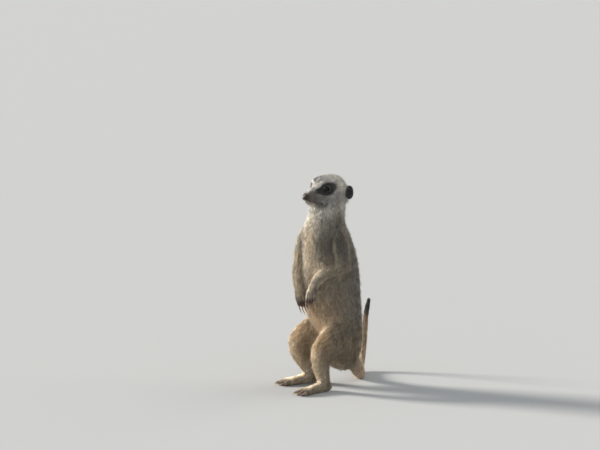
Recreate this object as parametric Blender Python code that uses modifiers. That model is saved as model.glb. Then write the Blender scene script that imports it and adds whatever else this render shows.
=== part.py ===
"""A meerkat, half crouched on its hind feet, as a still life-size model.

It faces -Y, its left side is +X and it stands on z = 0.  The body is shaped whole, out to
the tips of its coat, and is then parted by thin cuts into head, neck, trunk, limbs and
tail.  Eyes and claws are set into it as pieces of their own.  Shapes are written in
millimetres and built in metres.
"""
import math

import bmesh
import bpy
import numpy as np
from mathutils import Matrix, Vector

# ---------------------------------------------------------------- driving dimensions
MM = 0.001                      # the shapes below are in millimetres
GAP = 0.3                       # air left by each parting cut
RIM_MERGE = 0.8                 # points closer than this along a cut's rim become one
VOXEL = 1.0                     # grain of the whole body before it is thinned out
BODY_TRIANGLES = 4100           # faces of the whole body before it is parted
BLENDING_ROUNDS = 70            # how softly trunk and limbs flow into each other
SMOOTHING_ROUNDS = 4

HEAD_PLACE = (1.5, -14.5, 262.5)        # midpoint between the eyes
HEAD_TURN = math.radians(5)             # the head looks a little to its left

EYE_RADIUS = 5.0
EYE_PLACE = (12.8, 3.1, 0.2)            # out, back and up from the midpoint of the eyes
EYE_AIM = math.radians(43)              # how far the eyes look out to the side
SOCKET_DEPTH = 3.2
SOCKET_RADIUS = 9.5
EAR_PLACE = (22.6, 33.0, -6.6)
EAR_SIZE = (2.5, 6.4, 10.4)             # half thickness, half length, half height
EAR_FLARE = math.radians(36)            # how far the ear's rear edge stands out

DIGITS = 4                              # toes on each foot, and fingers on each hand
FORE_CLAW = (11.5, 1.15)                # length and radius at the root
HIND_CLAW = (7.5, 1.15)
CLAW_BEND = math.radians(38)
FINGER_TIP = 1.8                        # radius of a finger's round tip
TOE_TIP = 2.2

SOLE_LEVEL = 0.0                        # the flats of feet and tail lie here
SUNK = 1.2                              # how far soft soles are pressed flat

SIDES = {"left": 1, "right": -1}

# ---------------------------------------------------------------- rings of the main forms
# height of the ring, how far back its middle is, half width, half depth
TRUNK_RINGS = (
    (219, -2.5, 24, 24.5),
    (207, -3.5, 29, 27.5),
    (195, -1, 32.5, 30.5),
    (178, 3, 35, 33),
    (155, 6.0, 36, 36.5),
    (130, 7.5, 37, 37.5),
    (108, 9.5, 38.5, 36),
    (88, 14, 39.5, 32),
    (68, 18, 38, 28.5),
    (52, 21, 34.5, 25.5),
    (39, 22.5, 29, 21),
)
NECK_RINGS = (
    (254, 3, 17, 18),
    (243, -0.8, 20.8, 24.2),
    (230, -0.5, 22.5, 24),
    (216, -1, 24, 25),
    (203, 0, 28, 27),
)
# distance ahead of the eyes, top and bottom from the eyes' level, half width
HEAD_RINGS = (
    (25.5, -7.8, -12.5, 2.8),
    (24, -5.3, -14.8, 4.7),
    (20, -3.0, -18.5, 7.0),
    (14, -0.9, -21.5, 8.8),
    (8, 1.5, -24.0, 11.0),
    (3, 7.0, -25.0, 14.6),
    (-2, 12.8, -25.2, 18.2),
    (-8, 15.6, -25.0, 21.4),
    (-16, 16.4, -24.5, 22.9),
    (-25, 15.8, -23.5, 22.2),
    (-32, 13.0, -22.5, 19.4),
    (-38, 5.0, -18.8, 14.0),
)
HEAD_SQUARENESS = 2.25                  # 2 is a plain ellipse
# middle of the ring and its radius, from the root of the tail to its tip
TAIL_RINGS = (
    (0, 32, 40, 13),
    (0, 42, 27, 10.5),
    (-4, 52, 14.5, 8.6),
    (-14, 62, 7.0, 7.6),
    (-34, 76, 5.6, 6.6),
    (-53, 91, 8.5, 5.8),
    (-62, 101, 24, 5.2),
    (-65, 106, 46, 4.6),
    (-65, 108, 68, 4.0),
    (-64, 110.5, 84, 3.5),
    (-63, 112, 93, 2.8),
)
# shoulder, upper arm and elbow, then forearm and wrist: middle of the ring and its radius
UPPER_ARM_RINGS = {
    "left": ((20, -3, 205, 14), (27, -2, 192, 14.5), (31.5, 0, 175, 12.5), (33, 2, 161, 10.5)),
    "right": ((-20, -8, 205, 14), (-27, -11, 193, 14), (-31, -16, 178, 11.5),
              (-32, -20, 165, 10)),
}
FOREARM_RINGS = {
    "left": ((34, 1, 160, 10.4), (29, -11, 158.5, 10), (23, -24, 152, 8.6), (18, -32, 142, 6.6)),
    "right": ((-31.5, -19, 166, 9.4), (-29, -24.5, 153, 9), (-23.8, -29, 140, 8.2),
              (-18.2, -31.5, 129.5, 6.6)),
}
# wrist, knuckles and finger tips, with the way across the hand
HANDS = {
    "left": ((18, -32.5, 141), (15.5, -36, 128), (12.0, -34.8, 114), (0.86, 0.5, 0.1)),
    "right": ((-18.2, -32, 129), (-13, -33.8, 118.5), (-7.5, -32.6, 106.5),
              (0.9, 0.42, 0.1)),
}
THIGH_RINGS = {
    "left": ((19, 10, 60, 26), (24, 1, 63, 25.5), (28, -13, 60, 21), (29.5, -27, 54, 16.5)),
    "right": ((-19, 11, 62, 26), (-24, 4, 66, 25.5), (-28, -9, 64, 21), (-29.5, -21, 58, 16.5)),
}
SHANK_RINGS = {
    "left": ((30, -29, 53, 15), (29.5, -31, 42, 13), (29, -29, 28, 10.5), (28, -24, 14, 8.3)),
    "right": ((-30, -23, 56, 15.4), (-29.2, -22, 43, 13.4), (-28.6, -14, 29, 11.2),
              (-28, -5, 14, 8.3)),
}
# the back of the heel on the floor, and how far the toes turn out
FEET = {
    "left": ((27.5, -12, 0), math.radians(6)),
    "right": ((-27.5, 6, 0), math.radians(9)),
}
# distance ahead of the heel, half width, height of the instep
FOOT_RINGS = (
    (0.5, 3.4, 7.5),
    (4, 5.6, 11.5),
    (12, 6.6, 14.5),
    (24, 6.6, 12.5),
    (36, 7.6, 10.0),
    (46, 8.8, 8.6),
    (52, 7.6, 6.4),
)
TOE_LENGTHS = (54.5, 58.0, 57.5, 53.5)  # from the heel to the tip of each toe
FINGER_LENGTHS = (0.90, 1.0, 1.0, 0.86)  # as a share of the hand

# ---------------------------------------------------------------- where the parts meet
# a point on the cut and the way past it, then the radius and reach of what it parts off
HEAD_CUT = ((0, 2, 239.5), (0, -0.18, 1), 60, 80)
NECK_CUT = ((0, 0, 214), (0, 0.1, 1), 60, 60)
TAIL_CUTS = (
    ("tail_tip", ((-65.5, 104, 46), (0, 0.05, 1), 14, 90)),
    ("tail_middle", ((-36, 77.4, 6), (-0.8, 0.6, 0.03), 50, 60)),
    ("tail_base", ((0, 44, 25), (0, 0.62, -0.78), 45, 60)),
)
NOSE_CUT = ((0, -22.6, -9.5), (0, -1, -0.12), 12, 14)
EAR_MARGIN = (2.5, 2.2, 2.2)            # from the ear out to the edge of its region
HAND_CUT = (9.4, 45, 0.76)              # radius, reach and flatness of a hand's region
FOOT_CUT = ((0, -16, 5.5), (0, -0.25, -1), 42, 40)      # from the ankle
FOREARM_REGION = (0.62, (12, 12, 25))   # share of the way to the wrist, half sizes
SHANK_REGION = (0.3, (20, 20, 27))      # share of the way up to the knee, half sizes
HIP_TURN = math.radians(12)
# middle and half sizes
HIP_REGIONS = {
    "left": ((36, -8, 64), (25, 55, 43)),
    "right": ((-35, -4, 66), (25, 53, 43)),
}
SHOULDER_REGIONS = {
    "left": ((42, 2, 180), (17, 20, 34)),
    "right": ((-40, -8, 181), (17, 20, 34)),
}
SMALLEST_ISLAND = 8                     # loose points fewer than this are a cut's crumbs


# ---------------------------------------------------------------- tools
def clear_scene():
    """Empties the file that the script starts in."""
    for thing in list(bpy.data.objects):
        bpy.data.objects.remove(thing, do_unlink=True)


def new_collection(name, hidden=False):
    """A collection in the scene."""
    made = bpy.data.collections.new(name)
    made.hide_render = hidden
    bpy.context.scene.collection.children.link(made)
    return made


def principled(name, colour, roughness):
    """A plain material with the colour of one kind of surface."""
    made = bpy.data.materials.new(name)
    made.use_nodes = True
    shader = made.node_tree.nodes["Principled BSDF"]
    shader.inputs["Base Color"].default_value = (*colour, 1)
    shader.inputs["Roughness"].default_value = roughness
    shader.inputs["Metallic"].default_value = 0
    made.diffuse_color = (*colour, 1)
    return made


def mesh_object(name, bm, collection):
    """Turns a bmesh into an object, with its faces pointing out."""
    bmesh.ops.recalc_face_normals(bm, faces=bm.faces)
    mesh = bpy.data.meshes.new(name)
    bm.to_mesh(mesh)
    bm.free()
    made = bpy.data.objects.new(name, mesh)
    collection.objects.link(made)
    return made


def filled_in(rows, steps):
    """Rows of numbers with a Catmull-Rom curve drawn through them."""
    given = np.array(rows, dtype=float)
    before = 2 * given[0] - given[1]
    after = 2 * given[-1] - given[-2]
    padded = np.vstack([before, given, after])
    filled = []
    for i in range(len(given) - 1):
        a, b, c, d = padded[i:i + 4]
        for t in np.arange(steps) / steps:
            cubic = (3 * b - 3 * c + d - a) * t ** 3
            square = (2 * a - 5 * b + 4 * c - d) * t ** 2
            filled.append(0.5 * (2 * b + (c - a) * t + square + cubic))
    filled.append(given[-1])
    return np.array(filled)


def with_round_ends(rings):
    """Adds rings that close each end of a form like half a ball."""
    ends = []
    for end, inner in ((rings[0], rings[1]), (rings[-1], rings[-2])):
        heading = end[:3] - inner[:3]
        heading = heading / np.linalg.norm(heading)
        reach = min(end[3:])
        caps = []
        for angle in np.radians((28, 52, 72, 85)):
            middle = end[:3] + heading * reach * math.sin(angle)
            caps.append(np.concatenate([middle, end[3:] * math.cos(angle)]))
        ends.append(caps)
    return np.vstack([ends[0][::-1], rings, ends[1]])


def loft(bm, rows, across=(1, 0, 0), facing=None, squareness=2.0, steps=4, sides=28,
         place=None, round_ends=True):
    """Adds a closed skin over rings: rows of x, y, z, half size across, half size along."""
    rings = filled_in(rows, steps)
    if round_ends:
        rings = with_round_ends(rings)
    middles = rings[:, :3]
    ahead = np.gradient(middles, axis=0)
    if facing:
        ahead[:] = facing
    shells = []
    for middle, heading, sizes in zip(middles, ahead, rings[:, 3:]):
        forward = Vector(heading).normalized()
        side = Vector(across)
        side = (side - side.dot(forward) * forward).normalized()
        other = forward.cross(side)
        shell = []
        for k in range(sides):
            angle = 2 * math.pi * k / sides
            c, s = math.cos(angle), math.sin(angle)
            u = math.copysign(abs(c) ** (2 / squareness), c) * sizes[0]
            v = math.copysign(abs(s) ** (2 / squareness), s) * sizes[1]
            point = Vector(middle) + side * u + other * v
            shell.append(bm.verts.new(place @ point if place else point))
        shells.append(shell)
    for one, two in zip(shells, shells[1:]):
        for k in range(sides):
            m = (k + 1) % sides
            bm.faces.new((one[k], one[m], two[m], two[k]))
    bm.faces.new(shells[0])
    bm.faces.new(shells[-1][::-1])


def ball(bm, middle, half_sizes, turn=None, place=None, detail=(32, 20)):
    """Adds an ellipsoid, turned about its own middle."""
    matrix = Matrix.Translation(middle)
    if turn:
        matrix = matrix @ turn
    matrix = matrix @ Matrix.Diagonal((*half_sizes, 1))
    if place:
        matrix = place @ matrix
    bmesh.ops.create_uvsphere(bm, u_segments=detail[0], v_segments=detail[1], radius=1,
                              matrix=matrix)


def head_matrix():
    """Carries points from the head's own axes to the body's."""
    return Matrix.Translation(HEAD_PLACE) @ Matrix.Rotation(HEAD_TURN, 4, "Z")


# ---------------------------------------------------------------- forms of the body
def add_trunk(bm):
    """Chest, belly and rump in one upright form, with the neck rising from it."""
    loft(bm, [(0, y, z, w, d) for z, y, w, d in TRUNK_RINGS], sides=40)
    loft(bm, [(0, y, z, w, d) for z, y, w, d in NECK_RINGS], sides=40)


def add_head(bm):
    """Skull with its brows, cheeks, whisker pads and chin."""
    place = head_matrix()
    rows = []
    for ahead, top, bottom, half_width in HEAD_RINGS:
        rows.append((0, -ahead, (top + bottom) / 2, half_width, (top - bottom) / 2))
    loft(bm, rows, facing=(0, 1, 0), squareness=HEAD_SQUARENESS, sides=40, place=place)
    for side in SIDES.values():
        ball(bm, (side * 9.2, 4.4, 7.0), (7.4, 7.8, 5.6), place=place)
        ball(bm, (side * 13.5, 13, -11.5), (9.8, 15, 12), place=place)
        ball(bm, (side * 4.3, -16.5, -11.5), (4.4, 7.0, 5.6), place=place)
        flare = Matrix.Rotation(side * -EAR_FLARE, 4, "Z")
        middle = (side * EAR_PLACE[0], EAR_PLACE[1], EAR_PLACE[2])
        ball(bm, middle, EAR_SIZE, turn=flare, place=place)
    ball(bm, (0, -14, -18.6), (5.2, 7.5, 4.2), place=place)


def add_tail(bm):
    """The tail, laid on the floor behind and then rising to its tip."""
    loft(bm, [(*row[:3], row[3], row[3]) for row in TAIL_RINGS], steps=6, sides=20)


def round_rows(rings):
    """Rings of one radius as rows for a loft."""
    return [(x, y, z, r, r) for x, y, z, r in rings]


def digit_offset(number, spread):
    """How far to one side the finger or toe lies."""
    return (number - (DIGITS - 1) / 2) * spread


def hand_frame(side):
    """Wrist, knuckles and tips of a hand, and the unit vector across it."""
    wrist, knuckles, tips, across = HANDS[side]
    return Vector(wrist), Vector(knuckles), Vector(tips), Vector(across).normalized()


def finger_points(side, number):
    """Root and tip of one finger."""
    wrist, knuckles, tips, across = hand_frame(side)
    root = knuckles + across * digit_offset(number, 3.2)
    reach = (tips - knuckles) * FINGER_LENGTHS[number]
    return root, root + reach + across * digit_offset(number, 0.7)


def add_arm(bm, side):
    """Shoulder, forearm and a drooping hand with four fingers."""
    loft(bm, round_rows(UPPER_ARM_RINGS[side]))
    loft(bm, round_rows(FOREARM_RINGS[side]))
    wrist, knuckles, tips, across = hand_frame(side)
    palm_end = knuckles.lerp(tips, 0.35)
    back = (knuckles - wrist).normalized()
    rows = (
        (*(wrist - 2 * back), 5.6, 5.4),
        (*wrist.lerp(knuckles, 0.45), 6.4, 5.0),
        (*knuckles, 7.2, 4.4),
        (*palm_end, 6.2, 3.2),
    )
    loft(bm, rows, across=across)
    for number in range(DIGITS):
        root, tip = finger_points(side, number)
        middle = root.lerp(tip, 0.5)
        rows = ((*root, 2.5, 2.8), (*middle, 2.15, 2.5), (*tip, FINGER_TIP, FINGER_TIP))
        loft(bm, rows, across=across, sides=16)


def foot_frame(side):
    """The heel's place on the floor, and the ways ahead and across."""
    heel, splay = FEET[side]
    turn = Matrix.Rotation(SIDES[side] * splay, 3, "Z")
    return Vector(heel), turn @ Vector((0, -1, 0)), turn @ Vector((1, 0, 0))


def toe_points(side, number):
    """Root and tip of one toe."""
    heel, ahead, across = foot_frame(side)
    order = number if SIDES[side] > 0 else DIGITS - 1 - number
    tip_offset = digit_offset(number, 4.9)
    root = heel + ahead * 40 + across * digit_offset(number, 3.9) + Vector((0, 0, 4.4))
    tip = heel + ahead * (TOE_LENGTHS[order] - 2) + across * tip_offset
    return root, tip + Vector((0, 0, 2.6))


def add_leg(bm, side):
    """Thigh, shank and a long flat foot with four toes."""
    loft(bm, round_rows(THIGH_RINGS[side]), sides=32)
    loft(bm, round_rows(SHANK_RINGS[side]))
    heel, ahead, across = foot_frame(side)
    rows = []
    for distance, half_width, height in FOOT_RINGS:
        half_height = (height + SUNK) / 2
        middle = heel + ahead * distance + Vector((0, 0, half_height - SUNK))
        rows.append((*middle, half_width, half_height))
    loft(bm, rows, across=across, squareness=2.4)
    for number in range(DIGITS):
        root, tip = toe_points(side, number)
        middle = root.lerp(tip, 0.55) + Vector((0, 0, 0.7))
        rows = ((*root, 3.0, 4.4), (*middle, 2.6, 3.9), (*tip, TOE_TIP, 3.0))
        loft(bm, rows, across=across, sides=16)


def whole_body(collection):
    """The body in one piece, welded from its forms, smoothed and thinned out."""
    bm = bmesh.new()
    add_trunk(bm)
    add_head(bm)
    add_tail(bm)
    for side in SIDES:
        add_arm(bm, side)
        add_leg(bm, side)
    bmesh.ops.triangulate(bm, faces=bm.faces)
    body = mesh_object("whole_body", bm, collection)
    remesh = body.modifiers.new("weld", "REMESH")
    remesh.mode = "VOXEL"
    remesh.voxel_size = VOXEL
    apply_modifiers(body)
    blend = body.modifiers.new("blend", "SMOOTH")
    blend.factor = 0.5
    blend.iterations = BLENDING_ROUNDS
    blend.vertex_group = flowing_parts(body).name
    apply_modifiers(body)
    press_dents(body.data)
    smooth = body.modifiers.new("smooth", "SMOOTH")
    smooth.factor = 0.5
    smooth.iterations = SMOOTHING_ROUNDS
    triangles = body.modifiers.new("triangles", "TRIANGULATE")
    triangles.keep_custom_normals = False
    apply_modifiers(body)
    thin = body.modifiers.new("thin", "DECIMATE")
    thin.ratio = BODY_TRIANGLES / len(body.data.polygons)
    apply_modifiers(body)
    return body


def mesh_points(mesh):
    """Every vertex of a mesh as a row of an array."""
    points = np.zeros(3 * len(mesh.vertices), dtype=np.float32)
    mesh.vertices.foreach_get("co", points)
    return points.reshape(-1, 3)


def ramp(values, low, high):
    """Rises smoothly from 0 at low to 1 at high."""
    t = np.clip((values - low) / (high - low), 0, 1)
    return t * t * (3 - 2 * t)


def flowing_parts(body):
    """A vertex group of how much each place is blended: little on head, hands and feet."""
    points = mesh_points(body.data)
    flow = 1 - 0.93 * ramp(points[:, 2], 228, 244)
    flow = np.minimum(flow, ramp(points[:, 2], 14, 30))
    flow = np.minimum(flow, 1 - 0.8 * ramp(points[:, 1], 48, 60))
    for side in SIDES:
        wrist, knuckles, tips, _ = hand_frame(side)
        for middle in (wrist.lerp(knuckles, 0.5), knuckles, tips):
            away = np.linalg.norm(points - np.array(middle), axis=1)
            flow = np.minimum(flow, 0.05 + ramp(away, 9, 17))
    group = body.vertex_groups.new(name="flowing")
    levels = np.round(flow * 20).astype(int)
    for level in range(1, 21):
        members = np.flatnonzero(levels == level)
        group.add(members.tolist(), level / 20, "REPLACE")
    return group


def press_dents(mesh):
    """Presses the eye sockets into the welded head."""
    points = mesh_points(mesh)
    place = head_matrix()
    for sign in SIDES.values():
        out, back, up = EYE_PLACE
        axis = Vector((sign * math.sin(EYE_AIM), -math.cos(EYE_AIM), 0.06)).normalized()
        middle = place @ (Vector((sign * out, back, up)) + axis * (EYE_RADIUS + 1))
        push = (place.to_3x3() @ axis) * -SOCKET_DEPTH
        away = np.linalg.norm(points - np.array(middle), axis=1) / SOCKET_RADIUS
        points += np.outer(np.clip(1 - away ** 2, 0, 1) ** 2, np.array(push))
    mesh.vertices.foreach_set("co", points.ravel())
    mesh.update()


# ---------------------------------------------------------------- cutting
def apply_modifiers(thing):
    """Replaces a mesh by what its modifiers make of it."""
    bpy.context.view_layer.update()
    evaluated = thing.evaluated_get(bpy.context.evaluated_depsgraph_get())
    made = bpy.data.meshes.new_from_object(evaluated)
    thing.modifiers.clear()
    thing.data = made


def cut(thing, cutter, operation="DIFFERENCE"):
    """Takes the cutter out of a piece, or keeps only what lies inside it."""
    boolean = thing.modifiers.new("cut", "BOOLEAN")
    boolean.operation = operation
    boolean.solver = "EXACT"
    boolean.object = cutter
    apply_modifiers(thing)


def part_off(body, name, region, collection, cutters):
    """Parts off what lies in a region, and leaves a thin gap between it and the rest."""
    piece = bpy.data.objects.new(name, body.data.copy())
    collection.objects.link(piece)
    cut(piece, region("in_" + name, 0, cutters), "INTERSECT")
    cut(body, region("round_" + name, GAP, cutters))
    return piece


def beyond(middle, facing, radius, reach, place=None, across=(1, 0, 0), flatness=1.0):
    """A region past a plane: a bar, round or flattened, that starts there and runs on."""
    def build(name, grow, collection):
        ahead = Vector(facing).normalized()
        side = Vector(across)
        side = (side - side.dot(ahead) * ahead).normalized()
        spin = Matrix((side, ahead.cross(side), ahead)).transposed().to_4x4()
        shape = Matrix.Diagonal((radius + grow, radius * flatness + grow, 1, 1))
        start = Matrix.Translation((0, 0, reach / 2 - grow))
        matrix = Matrix.Translation(middle) @ spin @ start @ shape
        if place:
            matrix = place @ matrix
        bm = bmesh.new()
        bmesh.ops.create_cone(bm, cap_ends=True, segments=12, radius1=1, radius2=1,
                              depth=reach, matrix=matrix)
        return mesh_object(name, bm, collection)
    return build


def within(middle, half_sizes, turn=None, place=None):
    """A region inside an ellipsoid."""
    def build(name, grow, collection):
        bm = bmesh.new()
        sizes = [size + grow for size in half_sizes]
        ball(bm, middle, sizes, turn=turn, place=place, detail=(10, 6))
        return mesh_object(name, bm, collection)
    return build


def sleeve(start, end, share, half_sizes):
    """An ellipsoid region round a limb, at a share of the way from start to end."""
    along = (end - start).to_track_quat("Z", "Y").to_matrix().to_4x4()
    return within(start.lerp(end, share), half_sizes, along)


def body_regions():
    """The named parts in the order in which they are parted off; the trunk is left."""
    regions = [("head", beyond(*HEAD_CUT)), ("neck", beyond(*NECK_CUT))]
    regions += [(name, beyond(*place)) for name, place in TAIL_CUTS]
    for side, sign in SIDES.items():
        wrist, _, tips, across = hand_frame(side)
        elbow = Vector(FOREARM_RINGS[side][1][:3])
        radius, reach, flatness = HAND_CUT
        hand = beyond(wrist, tips - wrist, radius, reach, None, across, flatness)
        ankle = Vector(SHANK_RINGS[side][3][:3])
        knee = Vector(SHANK_RINGS[side][0][:3])
        turn = Matrix.Rotation(-sign * HIP_TURN, 4, "Z")
        regions += [
            ("hand_" + side, hand),
            ("forearm_" + side, sleeve(elbow, wrist, *FOREARM_REGION)),
            ("upper_arm_" + side, within(*SHOULDER_REGIONS[side])),
            ("foot_" + side, beyond(ankle + Vector(FOOT_CUT[0]), *FOOT_CUT[1:])),
            ("shank_" + side, sleeve(ankle, knee, *SHANK_REGION)),
            ("thigh_" + side, within(*HIP_REGIONS[side], turn)),
        ]
    return regions


def head_regions():
    """The parts of the head: the nose and the two ears."""
    place = head_matrix()
    regions = [("nose", beyond(*NOSE_CUT, place=place))]
    sizes = [size + margin for size, margin in zip(EAR_SIZE, EAR_MARGIN)]
    for side, sign in SIDES.items():
        flare = Matrix.Rotation(sign * -EAR_FLARE, 4, "Z")
        out, back, up = EAR_PLACE
        regions.append(("ear_" + side, within((sign * out, back, up), sizes, flare, place)))
    return regions


def part_body(body, collection, cutters):
    """Parts the whole body into its named pieces."""
    pieces = {}
    shaped = {place_key(vertex.co) for vertex in body.data.vertices}
    for name, region in body_regions():
        pieces[name] = part_off(body, name, region, collection, cutters)
    for name, region in head_regions():
        pieces[name] = part_off(pieces["head"], name, region, collection, cutters)
    trunk = bpy.data.objects.new("trunk", body.data.copy())
    collection.objects.link(trunk)
    pieces["trunk"] = trunk
    for piece in pieces.values():
        merge_short_edges(piece, shaped)
    return pieces


def place_key(point):
    """A point as whole hundredths of a millimetre."""
    return tuple(int(round(100 * value)) for value in point)


def drop_specks(bm):
    """Deletes the loose triangles that a collapsed rim can leave."""
    seen = set()
    specks = []
    for start in bm.verts:
        group = []
        waiting = [start] if start not in seen else []
        seen.add(start)
        while waiting:
            vertex = waiting.pop()
            group.append(vertex)
            linked = {edge.other_vert(vertex) for edge in vertex.link_edges} - seen
            seen |= linked
            waiting += sorted(linked, key=lambda each: each.index)
        if len(group) < SMALLEST_ISLAND:
            specks += group
    bmesh.ops.delete(bm, geom=specks, context="VERTS")


def merge_short_edges(piece, shaped):
    """Merges the crowded points that the cuts leave along their rims."""
    bm = bmesh.new()
    bm.from_mesh(piece.data)
    used = set()
    short = []
    for edge in sorted(bm.edges, key=lambda each: each.calc_length()):
        if edge.calc_length() > RIM_MERGE:
            break
        one, two = edge.verts
        if one in used or two in used:
            continue
        if place_key(one.co) in shaped or place_key(two.co) in shaped:
            continue
        used.update((one, two))
        short.append(edge)
    bmesh.ops.collapse(bm, edges=short)
    bmesh.ops.triangulate(bm, faces=bm.faces)
    drop_specks(bm)
    bm.to_mesh(piece.data)
    bm.free()


def flatten_soles(body, collection):
    """Cuts the body off at the level that it stands on."""
    bm = bmesh.new()
    bmesh.ops.create_cube(bm, size=1, matrix=Matrix.Translation((0, 0, SOLE_LEVEL - 20))
                          @ Matrix.Diagonal((400, 400, 40, 1)))
    cut(body, mesh_object("floor_cutter", bm, collection))


# ---------------------------------------------------------------- eyes and claws
def eye_middle(sign):
    """The middle of an eyeball."""
    out, back, up = EYE_PLACE
    return head_matrix() @ Vector((sign * out, back, up))


def eyeball(name, sign, radius, collection):
    """A ball, as an eye or as the cutter of its socket."""
    bm = bmesh.new()
    bmesh.ops.create_uvsphere(bm, u_segments=14, v_segments=8, radius=radius,
                              matrix=Matrix.Translation(eye_middle(sign)))
    return mesh_object(name, bm, collection)


def claw(name, tip, ahead, up, size, collection):
    """A tapering claw that bends down as it runs out of the tip of a finger or toe."""
    length, radius = size
    stations = 4
    rows = []
    for k in range(stations):
        t = k / (stations - 1)
        arc = CLAW_BEND * t
        run = length * math.sin(arc) / CLAW_BEND
        drop = length * (1 - math.cos(arc)) / CLAW_BEND
        middle = tip + ahead * run - up * drop
        thick = radius * (1 - 0.78 * t ** 1.3)
        rows.append((*middle, 0.8 * thick, thick))
    bm = bmesh.new()
    loft(bm, rows, across=ahead.cross(up), steps=1, sides=6, round_ends=False)
    bmesh.ops.triangulate(bm, faces=bm.faces)
    return mesh_object(name, bm, collection)


def claw_seats(side):
    """Where each claw of one side grows: name, root, way ahead, way up and size."""
    seats = []
    across = hand_frame(side)[3]
    for number in range(DIGITS):
        root, tip = finger_points(side, number)
        ahead = (tip - root).normalized()
        outward = across.cross(ahead).normalized()
        if outward.y > 0:
            outward = -outward
        name = f"claw_hand_{side}_{number + 1}"
        seat = tip + ahead * (FINGER_TIP + GAP)
        seats.append((name, seat, ahead, outward, FORE_CLAW))
    for number in range(DIGITS):
        root, tip = toe_points(side, number)
        ahead = tip - root
        ahead.z = 0
        ahead.normalize()
        name = f"claw_foot_{side}_{number + 1}"
        seat = tip + ahead * (TOE_TIP + GAP) + Vector((0, 0, 1.4))
        seats.append((name, seat, ahead, Vector((0, 0, 1)), HIND_CLAW))
    return seats


def finish(thing, look):
    """Gives a piece its material and its size in metres."""
    thing.data.transform(Matrix.Scale(MM, 4))
    thing.data.materials.clear()
    thing.data.materials.append(look)
    thing.data.shade_smooth()
    thing.data.set_sharp_from_angle(angle=math.radians(40))


def centre_on_floor(things):
    """Moves everything so that the origin is on the floor under the middle of the box."""
    corners = np.array([v.co[:] for thing in things for v in thing.data.vertices])
    low, high = corners.min(axis=0), corners.max(axis=0)
    shift = Matrix.Translation((-(low[0] + high[0]) / 2, -(low[1] + high[1]) / 2, 0))
    for thing in things:
        thing.data.transform(shift)


def main():
    """Builds the animal."""
    clear_scene()
    parts = new_collection("meerkat")
    cutters = new_collection("cutters", hidden=True)
    looks = {
        "coat": principled("coat", (0.42, 0.33, 0.22), 0.9),
        "nose": principled("nose", (0.09, 0.05, 0.04), 0.5),
        "ear": principled("ear", (0.03, 0.025, 0.022), 0.85),
        "eye": principled("eye", (0.02, 0.012, 0.01), 0.08),
        "claw": principled("claw", (0.30, 0.22, 0.18), 0.35),
    }
    body = whole_body(cutters)
    flatten_soles(body, cutters)
    pieces = part_body(body, parts, cutters)
    for side, sign in SIDES.items():
        socket = eyeball("socket_" + side, sign, EYE_RADIUS + GAP, cutters)
        cut(pieces["head"], socket)
        pieces["eye_" + side] = eyeball("eye_" + side, sign, EYE_RADIUS, parts)
        for name, tip, ahead, up, size in claw_seats(side):
            pieces[name] = claw(name, tip, ahead, up, size, parts)
    for name, piece in pieces.items():
        kind = name.split("_")[0]
        finish(piece, looks.get(kind, looks["coat"]))
    centre_on_floor(list(pieces.values()))
    for cutter in cutters.objects:
        cutter.data.transform(Matrix.Scale(MM, 4))
        cutter.hide_render = True
        cutter.display_type = "WIRE"


main()
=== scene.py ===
"""A meerkat's skin, coat, face, eyes and claws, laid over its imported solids.

Shapes are worked out in millimetres in the body's own axes: the animal faces -Y, its left
side is +X and z = 0 is the floor.  One skin takes the place of all nodes of flesh.  Tufts of
fur grow on it and reach about as far out as the solids do.
"""
import math

import bmesh
import bpy
import numpy as np
from mathutils import Matrix, Vector
from mathutils.bvhtree import BVHTree


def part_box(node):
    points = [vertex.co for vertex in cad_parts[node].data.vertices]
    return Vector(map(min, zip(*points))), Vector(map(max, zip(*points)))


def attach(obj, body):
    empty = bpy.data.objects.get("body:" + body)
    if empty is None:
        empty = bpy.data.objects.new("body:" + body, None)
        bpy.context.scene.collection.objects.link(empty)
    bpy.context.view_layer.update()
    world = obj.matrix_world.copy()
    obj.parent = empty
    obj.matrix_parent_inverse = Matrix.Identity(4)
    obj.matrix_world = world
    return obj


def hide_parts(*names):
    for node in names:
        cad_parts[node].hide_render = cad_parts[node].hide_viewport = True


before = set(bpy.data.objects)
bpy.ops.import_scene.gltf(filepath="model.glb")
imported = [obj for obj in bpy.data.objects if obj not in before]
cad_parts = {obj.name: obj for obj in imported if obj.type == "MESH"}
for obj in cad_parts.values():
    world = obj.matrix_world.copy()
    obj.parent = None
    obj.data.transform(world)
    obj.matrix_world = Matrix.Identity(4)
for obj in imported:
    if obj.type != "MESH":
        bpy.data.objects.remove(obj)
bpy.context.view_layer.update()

# ---------------- sizes, in millimetres
MM = 0.001
SIDES = {"left": 1, "right": -1}
DIGITS = 4

# the head: places are out to the left, back and up from the midpoint between the eyes, and a
# rounded place has a middle and half sizes
HEAD_PLACE = Vector((1.5, -14.5, 262.5))
HEAD_TURN = math.radians(5)
EYE_PLACE = (12.8, 3.1, 0.2)
EYE_AIM = math.radians(43)
EYE_RADIUS = 4.7
EYE_OPENING = (3.8, 3.0)  # half length and half height between lids
LID = 0.55  # how far the lids stand out over the eyeball
PUPIL = (1.55, 1.15)  # half width and half height
IRIS = 3.15
CORNEA = 0.32  # how far it swells out of the eyeball
EAR_PLACE = (22.6, 33.0, -6.6)
EAR_FLARE = math.radians(36)
EAR_MARK = ((23.4, 33.4, -6.6), (6.0, 7.0, 11.0))
PAD = ((0, -25, -9.4), (4.3, 3.4, 3.8))
PAD_CREASE = ((0, -25, -9.2), (4.2, 3.4, 3.9))
NOSTRIL = ((2.15, -24.6, -9.9), (1.0, 1.6, 0.8))
NOSE_WING = ((2.6, -24.2, -8.6), (1.3, 1.5, 1.3))
NOSE_TIP = ((0, -24, -9), (7, 5, 6))
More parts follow.
